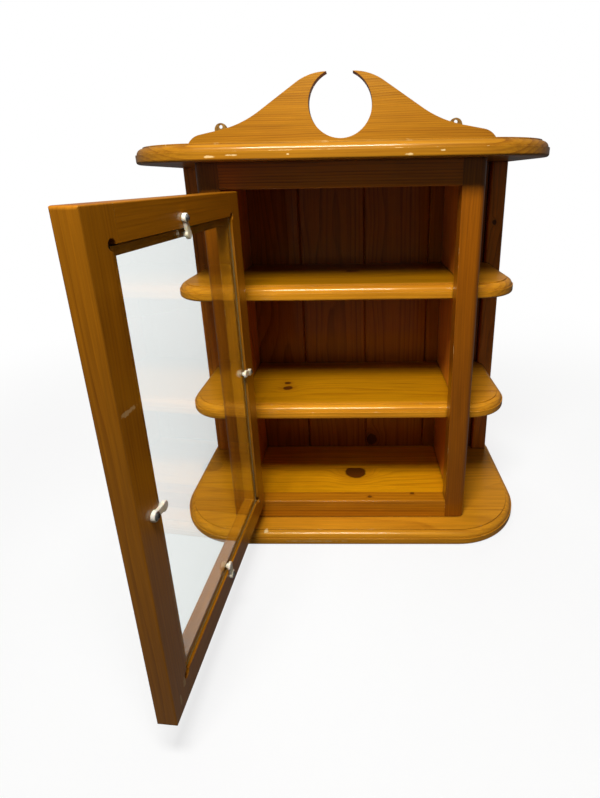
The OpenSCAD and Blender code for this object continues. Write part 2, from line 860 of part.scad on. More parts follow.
module hinge_pin(z) {
    cap = hinge_pin_r;
    color(brass) translate([pin_x, pin_y, z]) {
        cylinder(r = hinge_pin_r, h = hinge_h);
        for (end = [-cap, hinge_h]) translate([0, 0, end]) cylinder(r = 1.5 * hinge_pin_r, h = cap);
    }
}

base_board();
top_board();
shelf(upper_shelf_z);  // upper_shelf
shelf(lower_shelf_z);  // lower_shelf
left_stile();
right_stile();
top_rail();
bottom_rail();
face_frame_dowels();
side_panel(-1, floor_z, lower_shelf_z - board_t);  // left_lower_panel
side_panel(-1, lower_shelf_z, upper_shelf_z - board_t);  // left_middle_panel
side_panel(-1, upper_shelf_z, ceiling_z);  // left_upper_panel
side_panel(1, floor_z, lower_shelf_z - board_t);  // right_lower_panel
side_panel(1, lower_shelf_z, upper_shelf_z - board_t);  // right_middle_panel
side_panel(1, upper_shelf_z, ceiling_z);  // right_upper_panel
post(-1);  // left_post
post(1);  // right_post
back_board(1);  // back_board_1
back_board(2);  // back_board_2
back_board(3);  // back_board_3
back_board(4);  // back_board_4
back_board(5);  // back_board_5
base_screws();
top_dowels();
panel_dowels();
crest();
crest_screws();
mirror_plate(-left_plate_x);  // left_mirror_plate
mirror_plate(right_plate_x);  // right_mirror_plate
plate_screws();
door_hinge_stile();
door_free_stile();
door_top_rail();
door_bottom_rail();
door_dowels();
glass_pane();
clip(top_clip_at);  // top_clip
clip(bottom_clip_at);  // bottom_clip
clip(free_clip_at);  // free_stile_clip
clip(hinge_clip_at);  // hinge_stile_clip
clip_screws();
frame_leaf(hinge_high_z);  // upper_frame_leaf
frame_leaf(hinge_low_z);  // lower_frame_leaf
frame_leaf_screws();
door_leaf(hinge_high_z);  // upper_door_leaf
door_leaf(hinge_low_z);  // lower_door_leaf
door_leaf_screws();
hinge_pin(hinge_high_z);  // upper_hinge_pin
hinge_pin(hinge_low_z);  // lower_hinge_pin
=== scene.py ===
"""Looks of a small pine display case: finishes, glass, fittings and a plain studio around it."""

import math

import bmesh
import bpy
from mathutils import Matrix, Vector


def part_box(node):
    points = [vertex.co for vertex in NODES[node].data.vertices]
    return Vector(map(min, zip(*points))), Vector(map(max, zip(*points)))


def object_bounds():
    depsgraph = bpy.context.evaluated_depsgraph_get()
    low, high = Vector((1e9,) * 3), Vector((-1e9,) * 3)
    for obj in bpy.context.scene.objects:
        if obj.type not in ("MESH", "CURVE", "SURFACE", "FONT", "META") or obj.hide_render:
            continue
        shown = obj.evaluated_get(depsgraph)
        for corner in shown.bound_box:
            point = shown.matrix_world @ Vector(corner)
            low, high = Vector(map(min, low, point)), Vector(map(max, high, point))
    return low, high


bl_info = {
    "name": "Pine display case",
    "version": (1, 0, 0),
    "blender": (4, 5, 0),
    "location": "View3D > Sidebar > Display case",
    "description": "Finishes the pieces of a pine display case and sets up its studio",
    "category": "Object",
}

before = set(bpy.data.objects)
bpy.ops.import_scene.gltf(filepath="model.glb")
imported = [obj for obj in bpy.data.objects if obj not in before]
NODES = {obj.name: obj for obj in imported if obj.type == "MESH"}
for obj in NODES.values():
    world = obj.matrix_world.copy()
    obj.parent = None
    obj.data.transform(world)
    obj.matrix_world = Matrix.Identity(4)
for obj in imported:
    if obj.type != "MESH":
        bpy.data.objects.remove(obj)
CAD_BOX = [list(corner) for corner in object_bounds()]

# Directions in the part's frame; the door stands open, so it has its own
X = Vector((1, 0, 0))
Y = Vector((0, 1, 0))
Z = Vector((0, 0, 1))
DOOR_OPEN = math.radians(94)
DOOR_TURN = Matrix.Rotation(-DOOR_OPEN, 3, "Z")
DOOR_X = DOOR_TURN @ X
DOOR_Y = DOOR_TURN @ Y

# Picture's frame in pixels, and the camera's sensor in mm
IMAGE_W = 600
IMAGE_H = 798
SENSOR = 36

# Waves a metre along the grain, across it and into the board
WANDER_WAVES = (2.2, 11, 11)
SWAY_WAVES = (7, 45, 45)
STREAK_WAVES = (6, 190, 190)
BLOTCH_WAVES = (9, 26, 26)
FINE_WAVES = (14, 560, 560)
FIBRE_WAVES = (35, 1500, 1500)

# How far the heart and the rings wander, in metres
HEART_WANDER = 0.05
RING_WANDER = 0.02
RING_SWAY = 0.0022

# How dark a growth ring is from its early wood to its late wood, and the same in a knot
RING_STOPS = [(0, 0.1), (0.12, 0), (0.5, 0.16), (0.82, 0.75), (0.93, 1), (1, 0.12)]
KNOT_STOPS = [(0, 0.2), (0.7, 0.9), (1, 0.3)]

# Knots are long along the grain, ragged and ringed, and the growth rings bend round them
KNOT_LONG = 1.25
KNOT_WAVES = 1.1
KNOT_RAGGED = 0.5
KNOT_RINGS = 3.1
KNOT_BEND = 1.1
KNOT_BEND_REACH = 0.55
OFF_STRIP = 9

# Glue line between two strips, the half width of the cupboard and the blur of its edge, in metres
SEAM_W = 0.0012
CUPBOARD_HALF = 0.157
CUPBOARD_BLUR = 0.003
FRONT_BLUR = 0.004

# Step from one random draw of a strip to its second one
SECOND_DRAW = 7.3

# Rays that the shaders of arrises and corners send out
EDGE_RAYS = 6

# Waves a metre of worn arrises and of chips in them, and how far wear lowers the limit of what is worn
RUBBED_WAVES = 55
CHIPPED_WAVES = 210
WEAR_STEP = 0.16

# Relief and lacquer of the pine
PINE_RELIEF = {"Strength": 0.22, "Distance": 0.0004}
PINE_LACQUER = {"Specular IOR Level": 0.4, "Coat Roughness": 0.13}
COAT = 0.34
COAT_LOST = 0.3

# Waves a metre of the patches and the drawn lines of metal, and the painted shade with some dirt in its
# corners
METAL_PATCHES = 160
METAL_LINES = (3200, 3200, 160)
METAL_CORNER = 0.0015
METAL_DIRT_AND_SHADE = (0.02, 0.018, 0.015)
METAL_RELIEF = {"Strength": 0.12, "Distance": 0.0002}

# Waves a metre of the patches and the skin of plastic, and its softened arrises
PLASTIC_PATCHES = 90
PLASTIC_SKIN = 2600
PLASTIC_ARRIS = 0.0004
PLASTIC_RELIEF = {"Strength": 0.08, "Distance": 0.0002}

# Glass: smears and ground edges in waves a metre, and the least cosine of its two large faces
GLASS_IOR = 1.5
SMEAR_WAVES = 26
SMEAR_ROUGH = 0.012
GROUND_WAVES = 900
GROUND_PALER = 2.2
PANE_FACE = 0.9

# Middle of the case, where the lamps point
AIM = Vector((0, -0.05, 0.28))

# Floor in metres; it glows a little less near the case
FLOOR_R = 30
FLOOR_SIDES = 96
FLOOR_GLOW = 0.76
FLOOR_NEAR = 0.35
FLOOR_FAR = 1.3
WHITE = (1, 1, 1)


def linear(red, green, blue):
    """Screen colour in 0 to 255 as the linear values that shaders use."""
    def channel(value):
        value /= 255
        return value / 12.92 if value <= 0.04045 else ((value + 0.055) / 1.055) ** 2.4
    return channel(red), channel(green), channel(blue)


class Sock:
    """Output socket of a shader node, on which plain sums add Math nodes."""

    def __init__(self, shade, socket):
        self.shade = shade
        self.socket = socket

    def math(self, operation, *values):
        sockets = dict(enumerate((self, *values)))
        return self.shade.node("ShaderNodeMath", {"operation": operation}, sockets)

    def _swapped(self, operation, value):
        return self.shade.node("ShaderNodeMath", {"operation": operation}, {0: value, 1: self})

    def __add__(self, value):
        return self.math("ADD", value)

    __radd__ = __add__

    def __sub__(self, value):
        return self.math("SUBTRACT", value)

    def __rsub__(self, value):
        return self._swapped("SUBTRACT", value)

    def __mul__(self, value):
        return self.math("MULTIPLY", value)

    __rmul__ = __mul__

    def __truediv__(self, value):
        return self.math("DIVIDE", value)

    def __rtruediv__(self, value):
        return self._swapped("DIVIDE", value)

    def __pow__(self, value):
        return self.math("POWER", value)

    def __abs__(self):
        return self.math("ABSOLUTE")


class Shade:
    """Node tree of a material or of the world, built node by node."""

    def __init__(self, owner):
        owner.use_nodes = True
        self.owner = owner
        self.tree = owner.node_tree
        self.tree.nodes.clear()

    def node(self, kind, settings=None, sockets=None, out=0):
        """Adds a node, sets it up, links or fills its sockets and gives one of its outputs."""
        made = self.tree.nodes.new(kind)
        for name, value in (settings or {}).items():
            if name == "stops":
                self._stops(made.color_ramp, value)
            else:
                setattr(made, name, value)
        for name, value in (sockets or {}).items():
            self.plug(made.inputs[name], value)
        return Sock(self, made.outputs[out]) if len(made.outputs) else made

    def plug(self, socket, value):
        """Links a socket or sets its own value."""
        if isinstance(value, Sock):
            self.tree.links.new(value.socket, socket)
        elif socket.type == "RGBA" and len(value) == 3:
            socket.default_value = (*value, 1)
        else:
            socket.default_value = value

    @staticmethod
    def _stops(ramp, stops):
        while len(ramp.elements) < len(stops):
            ramp.elements.new(1)
        for element, (place, level) in zip(ramp.elements, stops):
            element.position = place
            element.color = (level, level, level, 1)

    def mix(self, share, first, second, blend="MIX"):
        """Colour between two others."""
        settings = {"data_type": "RGBA", "blend_type": blend}
        return self.node("ShaderNodeMix", settings, {0: share, 6: first, 7: second}, out=2)

    def vector(self, operation, first, second, out=0):
        return self.node("ShaderNodeVectorMath", {"operation": operation}, {0: first, 1: second}, out=out)

    def noise(self, place, scale, detail=2, rough=0.5):
        """Noise about 0.5, at a number of waves in each unit of the place."""
        return self.node(
            "ShaderNodeTexNoise", {"noise_dimensions": "3D"},
            {"Vector": place, "Scale": scale, "Detail": detail, "Roughness": rough},
        )

    def ease(self, value, low, high):
        """0 below low, 1 above high and smooth between; low may be above high."""
        if low > high:
            return 1 - self.ease(value, high, low)
        return self.node(
            "ShaderNodeMapRange", {"interpolation_type": "SMOOTHSTEP"}, {"Value": value, 1: low, 2: high}
        )

    def open_air(self, reach):
        """1 in the open, lower where another surface is nearer than the reach."""
        settings = {"samples": EDGE_RAYS}
        return self.node("ShaderNodeAmbientOcclusion", settings, {"Distance": reach}, out="AO")

    def soft_edges(self, radius):
        """Normal that is rounded off at the arrises."""
        return self.node("ShaderNodeBevel", {"samples": EDGE_RAYS}, {"Radius": radius})

    def chance(self, number):
        """A random value for each whole number."""
        return self.node("ShaderNodeTexWhiteNoise", {"noise_dimensions": "1D"}, {"W": number})

    def split(self, place):
        """The three parts of a place."""
        made = self.node("ShaderNodeSeparateXYZ", None, {0: place}).socket.node
        return [Sock(self, output) for output in made.outputs]

    def ramp(self, value, stops):
        """Level that follows a value by stops."""
        return self.node("ShaderNodeValToRGB", {"stops": stops}, {"Fac": value})

    def finish(self, surface):
        """Ends the tree with its output node and gives back the material or the world."""
        output = "ShaderNodeOutputMaterial"
        if isinstance(self.owner, bpy.types.World):
            output = "ShaderNodeOutputWorld"
        self.node(output, None, {"Surface": surface})
        return self.owner


class Cut:
    """How a board was sawn: its grain and face, the place of the tree's heart and its growth rings."""

    def __init__(self, grain, face, heart=(0.1, -0.1), ring=0.003, seed=0.0, contrast=1.0, waver=1.0):
        self.grain = grain
        self.face = face
        self.heart = heart
        self.ring = ring
        self.seed = seed
        self.contrast = contrast
        self.waver = waver

    def turn(self):
        """From the part's frame to along the grain, across it and out of the face."""
        return Matrix((self.grain, self.face.cross(self.grain), self.face))


class Knot:
    """A knot at a place in the part's frame, with its radius."""

    def __init__(self, place, radius, dark=1.0):
        self.place = Vector(place)
        self.radius = radius
        self.dark = dark


class Scuff:
    """A patch of broken lacquer at a place in the part's frame, with its half sizes."""

    def __init__(self, place, reach, pale=0.85):
        self.place = Vector(place)
        self.reach = reach
        self.pale = pale


def add_knots(s, looks, colour, dark, spots):
    """Knots on a board's colour: ringed heart, dark bark around it and darker wood beside it."""
    for away, depth in spots:
        rings = s.ramp((away * KNOT_RINGS).math("FRACT"), KNOT_STOPS)
        heart = s.mix(rings, looks.knot_light, looks.knot_dark)
        bark = s.ease(abs(away - 0.95), 0.22, 0.05)
        heart = s.mix(bark, heart, looks.knot_bark)
        colour = s.mix(s.ease(away, 1.12, 0.9) * depth, colour, heart)
        colour = s.mix(s.ease(away, 2.6, 1.0) * (0.3 * depth), colour, dark)
    return colour


def worn_places(s, looks, coords, soft, scuffs, wear):
    """1 where the lacquer is broken and bare wood shows: on worn arrises and in scuffs."""
    hard = s.node("ShaderNodeNewGeometry", out="Normal")
    edge = 1 - s.vector("DOT_PRODUCT", soft, hard, out="Value")
    rubbed = s.noise(coords, RUBBED_WAVES, 3, 0.65)
    chipped = s.noise(coords, CHIPPED_WAVES, 2, 0.6)
    rubbed_off = s.ease(rubbed, 0.66 - WEAR_STEP * wear, 0.74 - WEAR_STEP * wear)
    worn = s.ease(edge, 0.03, 0.2) * rubbed_off * s.ease(chipped, 0.4, 0.5) * looks.wear
    for scuff in scuffs:
        off = s.vector("SUBTRACT", coords, scuff.place)
        off = s.vector("LENGTH", s.vector("DIVIDE", off, scuff.reach), (0, 0, 0), out="Value")
        patch = s.ease(off + (chipped - 0.5) * 2.2 + (rubbed - 0.5), 1.0, 0.7)
        worn = worn.math("MAXIMUM", patch * scuff.pale)
    return worn


def pine(
    name, looks, tone, cut, centre,
    level=1.0, knots=(), strips=None, inner=None, scuffs=(), wear=0.5, grime_and_shade=1.0,
):
    """Stained and lacquered pine with growth rings, fibre, knots, painted shade with some grime in its
    corners, and worn arrises.

    tone: the light wood and the dark
    level: brightness of the whole board
    strips: width of the glued strips and the place of one joint
    inner: brightness inside the cupboard and where that begins at the front; the step between it and the
    level outside is partly painted light, for the light and sheen that each part catches
    wear: how much of the arrises is worn
    grime_and_shade: share of the painted shade and grime in the corners
    """
    s = Shade(bpy.data.materials.new(name))
    turn = cut.turn()
    coords = s.node("ShaderNodeTexCoord", out="Object")
    wood = s.node("ShaderNodeMapping", {"vector_type": "POINT"}, {
        "Vector": coords, "Rotation": turn.to_euler(), "Location": -(turn @ centre),
    })
    along, across, deep = s.split(wood)
    tint = level
    number = None
    heart_y = across - cut.heart[0]
    heart_z = deep - cut.heart[1]
    grain_x = along + cut.seed
    if strips:
        width, joint = strips
        number = ((across - joint) / width).math("FLOOR")
        chance = s.chance(number + cut.seed)
        other = s.chance(number + cut.seed + SECOND_DRAW)
        tint = level * (0.92 + 0.16 * chance)
        place_in = ((across - joint) / width).math("FRACT")
        seam = s.ease(abs(place_in - 0.5), 0.5 - SEAM_W / width, 0.5)
        heart_y = place_in * width - width * (0.2 + 0.6 * other)
        grain_x = grain_x + chance * 3.0

    # Growth rings about the heart, which wanders along the board
    place = s.node("ShaderNodeCombineXYZ", None, {0: grain_x, 1: heart_y, 2: heart_z})
    wander = s.noise(s.vector("MULTIPLY", place, WANDER_WAVES), 1.0, 2, 0.45) - 0.5
    sway = s.noise(s.vector("MULTIPLY", place, SWAY_WAVES), 1.0, 2, 0.5) - 0.5
    sideways = heart_y + wander * (HEART_WANDER * cut.waver)
    radius = (sideways * sideways + heart_z * heart_z).math("SQRT")
    radius = radius + wander * (RING_WANDER * cut.waver) + sway * RING_SWAY
    bend = None
    spots = []
    for knot in knots:
        at = turn @ (knot.place - centre)
        near_x = (along - at.x) / (KNOT_LONG * knot.radius)
        near_y = (across - at.y) / knot.radius
        away = (near_x * near_x + near_y * near_y).math("SQRT")
        away = away + (s.noise(wood, KNOT_WAVES / knot.radius, 2) - 0.5) * KNOT_RAGGED
        if strips:
            own_strip = number.math("COMPARE", math.floor((at.y - joint) / width), 0.5)
            away = away + OFF_STRIP * (1 - own_strip)
        spots.append((away, knot.dark))
        push = knot.radius * KNOT_BEND / (1 + (away * KNOT_BEND_REACH) ** 4)
        bend = push if bend is None else bend + push
    if bend is not None:
        radius = radius + bend
    count = radius / cut.ring
    phase = count.math("FRACT")
    late = s.ramp(phase, RING_STOPS)
    year = s.chance(count.math("FLOOR"))
    late = late * (0.45 + 0.55 * year)

    # Fibre, streaks and blotches of stain
    fibre = s.noise(s.vector("MULTIPLY", place, FIBRE_WAVES), 1.0, 3, 0.6)
    fine = s.noise(s.vector("MULTIPLY", place, FINE_WAVES), 1.0, 3, 0.6)
    streak = s.noise(s.vector("MULTIPLY", place, STREAK_WAVES), 1.0, 2, 0.5)
    blotch = s.noise(s.vector("MULTIPLY", place, BLOTCH_WAVES), 1.0, 3, 0.55)
    light, dark = tone
    lines = late * (0.8 * cut.contrast) + (streak - 0.5) * 1.1 * cut.contrast + (blotch - 0.5) * 0.7
    colour = s.mix(lines.math("MAXIMUM", 0).math("MINIMUM", 1), light, dark)
    brightness = (0.45 + 0.3 * fibre + 0.66 * fine + 0.2 * blotch) * tint
    colour = s.node("ShaderNodeVectorMath", {"operation": "SCALE"}, {0: colour, "Scale": brightness})
    if strips:
        colour = s.mix(seam * 0.5, colour, dark)
    # Yellower inside the cupboard, the pine's own tone; the brightness there against the ends outside is
    # partly painted light
    if inner is not None:
        inner_level, front = inner
        yellow = tuple(inner_level * part for part in looks.inner_tint)
        colour = s.mix(inside_case(s, coords, front), colour, s.mix(1.0, colour, yellow, "MULTIPLY"))

    # Darker end grain
    facing = s.node("ShaderNodeTexCoord", out="Normal")
    ends = abs(s.vector("DOT_PRODUCT", facing, tuple(cut.grain), out="Value"))
    colour = s.mix(s.ease(ends, 0.75, 0.98) * 0.45, colour, looks.end_grain)

    colour = add_knots(s, looks, colour, dark, spots)

    # Painted shade with some grime: darker in the corners and along the joints, where other surfaces are
    # near
    open_air = s.open_air(looks.grime_and_shade_reach)
    corner_shade_and_dirt = s.ease(open_air, 0.8, 0.4) * (0.6 + 0.4 * blotch)
    colour = s.mix(corner_shade_and_dirt * (looks.grime_and_shade * grime_and_shade), colour, looks.dirt_and_shade)

    # Bare wood, and the relief and gloss of the lacquer
    soft = s.soft_edges(looks.arris)
    worn = worn_places(s, looks, coords, soft, scuffs, wear)
    colour = s.mix(worn, colour, looks.raw_pine)
    height = late * 0.35 + fibre * 0.5 + (1 - worn) * 0.6
    bump = s.node("ShaderNodeBump", None, {**PINE_RELIEF, "Height": height, "Normal": soft})
    rough = 0.3 + 0.16 * blotch - 0.05 * late + 0.3 * worn
    return s.finish(s.node("ShaderNodeBsdfPrincipled", None, {
        "Base Color": colour, "Roughness": rough, "Normal": bump,
        "Coat Weight": COAT - COAT_LOST * worn, "Specular Tint": (*looks.sheen, 1), **PINE_LACQUER,
    }))


def plain_metal(name, colour, tarnish, rough):
    """Drawn and handled metal, duller in patches, and darker in its corners: painted shade with some
    dirt.
    """
    s = Shade(bpy.data.materials.new(name))
    coords = s.node("ShaderNodeTexCoord", out="Object")
    patch = s.noise(coords, METAL_PATCHES, 4, 0.6)
    drawn = s.noise(s.vector("MULTIPLY", coords, METAL_LINES), 1.0, 2, 0.5)
    shade = s.mix(s.ease(patch, 0.4, 0.7), colour, tarnish)
    # Painted shade with some dirt: darker in the corners, where other surfaces are near
    open_air = s.open_air(METAL_CORNER)
    shade = s.mix(s.ease(open_air, 0.7, 0.35) * 0.85, shade, METAL_DIRT_AND_SHADE)
    bump = s.node("ShaderNodeBump", None, {**METAL_RELIEF, "Height": drawn})
    return s.finish(s.node("ShaderNodeBsdfPrincipled", None, {
        "Base Color": shade, "Metallic": 1.0, "Normal": bump,
        "Roughness": rough + 0.2 * (patch - 0.4) + 0.1 * drawn,
    }))


def cream_plastic(looks):
    """Moulded cream plastic, yellowed in patches."""
    s = Shade(bpy.data.materials.new("cream_plastic"))
    coords = s.node("ShaderNodeTexCoord", out="Object")
    aged = s.noise(coords, PLASTIC_PATCHES, 3, 0.55)
    skin = s.noise(coords, PLASTIC_SKIN, 2, 0.5)
    colour = s.mix(s.ease(aged, 0.4, 0.68), looks.cream, looks.cream_aged)
    soft = s.soft_edges(PLASTIC_ARRIS)
    bump = s.node("ShaderNodeBump", None, {**PLASTIC_RELIEF, "Height": skin, "Normal": soft})
    return s.finish(s.node("ShaderNodeBsdfPrincipled", None, {
        "Base Color": colour, "Roughness": 0.34 + 0.16 * aged, "Normal": bump,
        "Subsurface Weight": 0.12, "Subsurface Scale": 0.002,
    }))


def clear_glass(looks):
    """Float glass that lets the lamps through."""
    s = Shade(bpy.data.materials.new("float_glass"))
    coords = s.node("ShaderNodeTexCoord", out="Object")
    smear = s.noise(coords, SMEAR_WAVES, 3, 0.6)
    pane = s.node("ShaderNodeBsdfPrincipled", None, {
        "Base Color": looks.glass_tint, "Transmission Weight": 1.0, "IOR": GLASS_IOR,
        "Roughness": SMEAR_ROUGH * s.ease(smear, 0.5, 0.8),
    })
    through = s.node("ShaderNodeBsdfTransparent", None, {"Color": looks.glass_tint})
    shadow = s.node("ShaderNodeLightPath", out="Is Shadow Ray")
    return s.finish(s.node("ShaderNodeMixShader", None, {0: shadow, 1: pane, 2: through}))


def shaded_glass_edge(looks):
    """Edges of the pane, ground and a little green, made dark as painted shade for the dark line along
    the rebate.
    """
    s = Shade(bpy.data.materials.new("glass_edge_and_shade"))
    coords = s.node("ShaderNodeTexCoord", out="Object")
    ground = s.noise(coords, GROUND_WAVES, 3, 0.6)
    paler = tuple(GROUND_PALER * part for part in looks.glass_edge_and_shade)
    colour = s.mix(s.ease(ground, 0.35, 0.75), looks.glass_edge_and_shade, paler)
    return s.finish(s.node("ShaderNodeBsdfPrincipled", None, {
        "Base Color": colour, "Roughness": 0.2 + 0.3 * ground, "Specular IOR Level": 0.4,
    }))


def dress(node, *materials):
    """Gives a CAD node its finish; the first material covers it until faces are given another."""
    mesh = NODES[node].data
    mesh.materials.clear()
    for material in materials:
        mesh.materials.append(material)


def middle(node):
    """Middle of a CAD node's box."""
    low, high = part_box(node)
    return (low + high) / 2


def inside_case(s, coords, front):
    """1 on the part of a board that lies inside the cupboard, where the pine is yellower, its own tone,
    and where its brightness is set apart from the ends outside, partly painted light.
    """
    across, depth, _ = s.split(coords)
    between = s.ease(abs(across), CUPBOARD_HALF + CUPBOARD_BLUR, CUPBOARD_HALF - CUPBOARD_BLUR)
    return between * s.ease(depth, front - FRONT_BLUR, front + FRONT_BLUR)


def colour_value(name, text, value):
    """Property that holds a colour."""
    return bpy.props.FloatVectorProperty(
        name=name, description=text, subtype="COLOR", size=3, min=0, max=1, default=value
    )


class CaseLooks(bpy.types.PropertyGroup):
    """Colours and finish of the display case."""

    honey: colour_value("Honey pine", "Light wood of the crest and the boards", linear(212, 140, 26))
    honey_late: colour_value("Honey late wood", "Dark lines of the honey pine", linear(142, 74, 6))
    amber: colour_value("Amber pine", "Light wood of the door and the bottom rail", linear(210, 129, 16))
    amber_late: colour_value("Amber late wood", "Dark lines of the amber pine", linear(136, 68, 4))
    brown: colour_value("Brown pine", "Light wood of the stiles and the top rail", linear(140, 76, 5))
    brown_late: colour_value("Brown late wood", "Dark lines of the brown pine", linear(88, 40, 2))
    shaded: colour_value("Shaded pine", "Light wood of the posts and sides", linear(214, 124, 34))
    shaded_late: colour_value("Shaded late wood", "Dark lines of the shaded pine", linear(150, 78, 16))
    back: colour_value("Back boards", "Light wood of the back boards", linear(148, 82, 6))
    back_late: colour_value("Back late wood", "Dark lines of the back boards", linear(104, 50, 5))
    inner_tint: colour_value(
        "Inside tint", "What turns the honey pine yellow inside the case", (0.97, 1.0, 0.25)
    )
    sheen: colour_value("Sheen", "Tint of the gloss of old lacquer", (1.0, 0.66, 0.2))
    # Painted shade with some grime in corners and joints: its colour, its amount and how far it reaches
    dirt_and_shade: colour_value("Grime", "Dirt in the corners", linear(40, 20, 6))
    grime_and_shade: bpy.props.FloatProperty(
        name="Grime", description="How much dirt lies in the corners", subtype="FACTOR",
        min=0, max=1, default=0.8,
    )
    grime_and_shade_reach: bpy.props.FloatProperty(
        name="Grime reach", description="How far from a corner the dirt spreads", unit="LENGTH",
        min=0, max=0.05, default=0.005,
    )
    end_grain: colour_value("End grain", "Stain drunk in by the end grain", linear(120, 62, 12))
    knot_light: colour_value("Knot", "Light rings of a knot", linear(66, 29, 7))
    knot_dark: colour_value("Knot rings", "Dark rings of a knot", linear(30, 12, 5))
    knot_bark: colour_value("Knot bark", "Bark around a knot", linear(18, 8, 4))
    raw_pine: colour_value("Raw pine", "Bare wood where the lacquer is chipped", linear(236, 208, 150))
    beech: colour_value("Dowel wood", "Light wood of the dowels", linear(216, 184, 136))
    brass: colour_value("Brass", "Polished brass", linear(184, 138, 70))
    brass_dull: colour_value("Dull brass", "Tarnished brass", linear(120, 78, 34))
    steel: colour_value("Steel", "Plated screws", linear(176, 176, 172))
    steel_dull: colour_value("Dull steel", "Tarnished screws", linear(96, 94, 90))
    cream: colour_value("Cream plastic", "Glass clips", linear(236, 230, 214))
    cream_aged: colour_value("Aged plastic", "Yellowed plastic", linear(222, 206, 166))
    glass_tint: colour_value("Glass", "Tint of the pane", (0.95, 0.985, 0.97))
    # Edges of the pane: a little green like the glass, dark as painted shade for the line along the
    # rebate
    glass_edge_and_shade: colour_value("Glass edge", "Edges of the pane", (0.07, 0.062, 0.026))
    wear: bpy.props.FloatProperty(
        name="Wear", description="How far worn arrises show bare wood", subtype="FACTOR",
        min=0, max=1, default=0.85,
    )
    arris: bpy.props.FloatProperty(
        name="Arris", description="Rounding that the light sees on sharp arrises", unit="LENGTH",
        min=0, max=0.003, default=0.0009,
    )


class CaseStudio(bpy.types.PropertyGroup):
    """Camera and light."""

    eye: bpy.props.FloatVectorProperty(
        name="Eye", description="Camera's place", subtype="TRANSLATION", unit="LENGTH", size=3,
        default=(0.020455, -0.612705, 0.485654),
    )
    heading: bpy.props.FloatProperty(
        name="Heading", description="Camera's turn from straight ahead to the right", unit="ROTATION",
        default=-0.0259,
    )
    pitch: bpy.props.FloatProperty(
        name="Pitch", description="Camera's angle above the horizon", unit="ROTATION", default=-0.3026
    )
    roll: bpy.props.FloatProperty(
        name="Roll", description="Camera's turn about its own axis", unit="ROTATION", default=-0.0194
    )
    focal: bpy.props.FloatProperty(name="Focal length", description="In pixels", default=448.561)
    centre_x: bpy.props.FloatProperty(
        name="Centre across", description="Pixel that the axis meets", default=348.571
    )
    centre_y: bpy.props.FloatProperty(
        name="Centre down", description="Pixel that the axis meets", default=318.897
    )
    lamp_place: bpy.props.FloatVectorProperty(
        name="Lamp", description="Place of the main lamp", subtype="TRANSLATION", unit="LENGTH", size=3,
        default=(-0.07, -0.56, 1.03),
    )
    lamp_size: bpy.props.FloatVectorProperty(
        name="Lamp size", description="Length and width of the main lamp", unit="LENGTH", size=2,
        default=(0.4, 0.16),
    )
    lamp_power: bpy.props.FloatProperty(name="Lamp power", description="In watts", default=11.5)
    back_place: bpy.props.FloatVectorProperty(
        name="Back lamp", description="Place of the lamp behind the case", subtype="TRANSLATION",
        unit="LENGTH", size=3, default=(0.1, 1.2, 0.66),
    )
    back_size: bpy.props.FloatVectorProperty(
        name="Back lamp size", description="Length and width of the lamp behind the case", unit="LENGTH",
        size=2, default=(1.2, 0.3),
    )
    back_power: bpy.props.FloatProperty(name="Back lamp power", description="In watts", default=13)
    fill: bpy.props.FloatProperty(
        name="Fill", description="Level of the even light from all round", default=0.11
    )
    floor: colour_value("Floor", "Pale floor", (0.85, 0.85, 0.84))
    bounce: colour_value("Bounce", "What the floor throws back on the case", (0.08, 0.08, 0.08))
    shine: bpy.props.FloatProperty(
        name="Shine", description="How much of the white studio shows in gloss", subtype="FACTOR",
        min=0, max=1, default=0.06,
    )


class PineOperator:
    """Shared by the operators that finish pine pieces."""

    bl_options = {"REGISTER", "UNDO"}

    def tones(self, looks):
        """The light wood and the dark of each tone of pine."""
        return {
            "honey": (looks.honey, looks.honey_late),
            "amber": (looks.amber, looks.amber_late),
            "brown": (looks.brown, looks.brown_late),
            "shaded": (looks.shaded, looks.shaded_late),
            "back": (looks.back, looks.back_late),
        }

    def finish_boards(self, context, rows):
        """Each row: node, tone, cut and further settings of its pine."""
        looks = context.scene.case_looks
        for node, tone, cut, more in rows:
            dress(node, pine("pine_" + node, looks, self.tones(looks)[tone], cut, middle(node), **more))
        return {"FINISHED"}


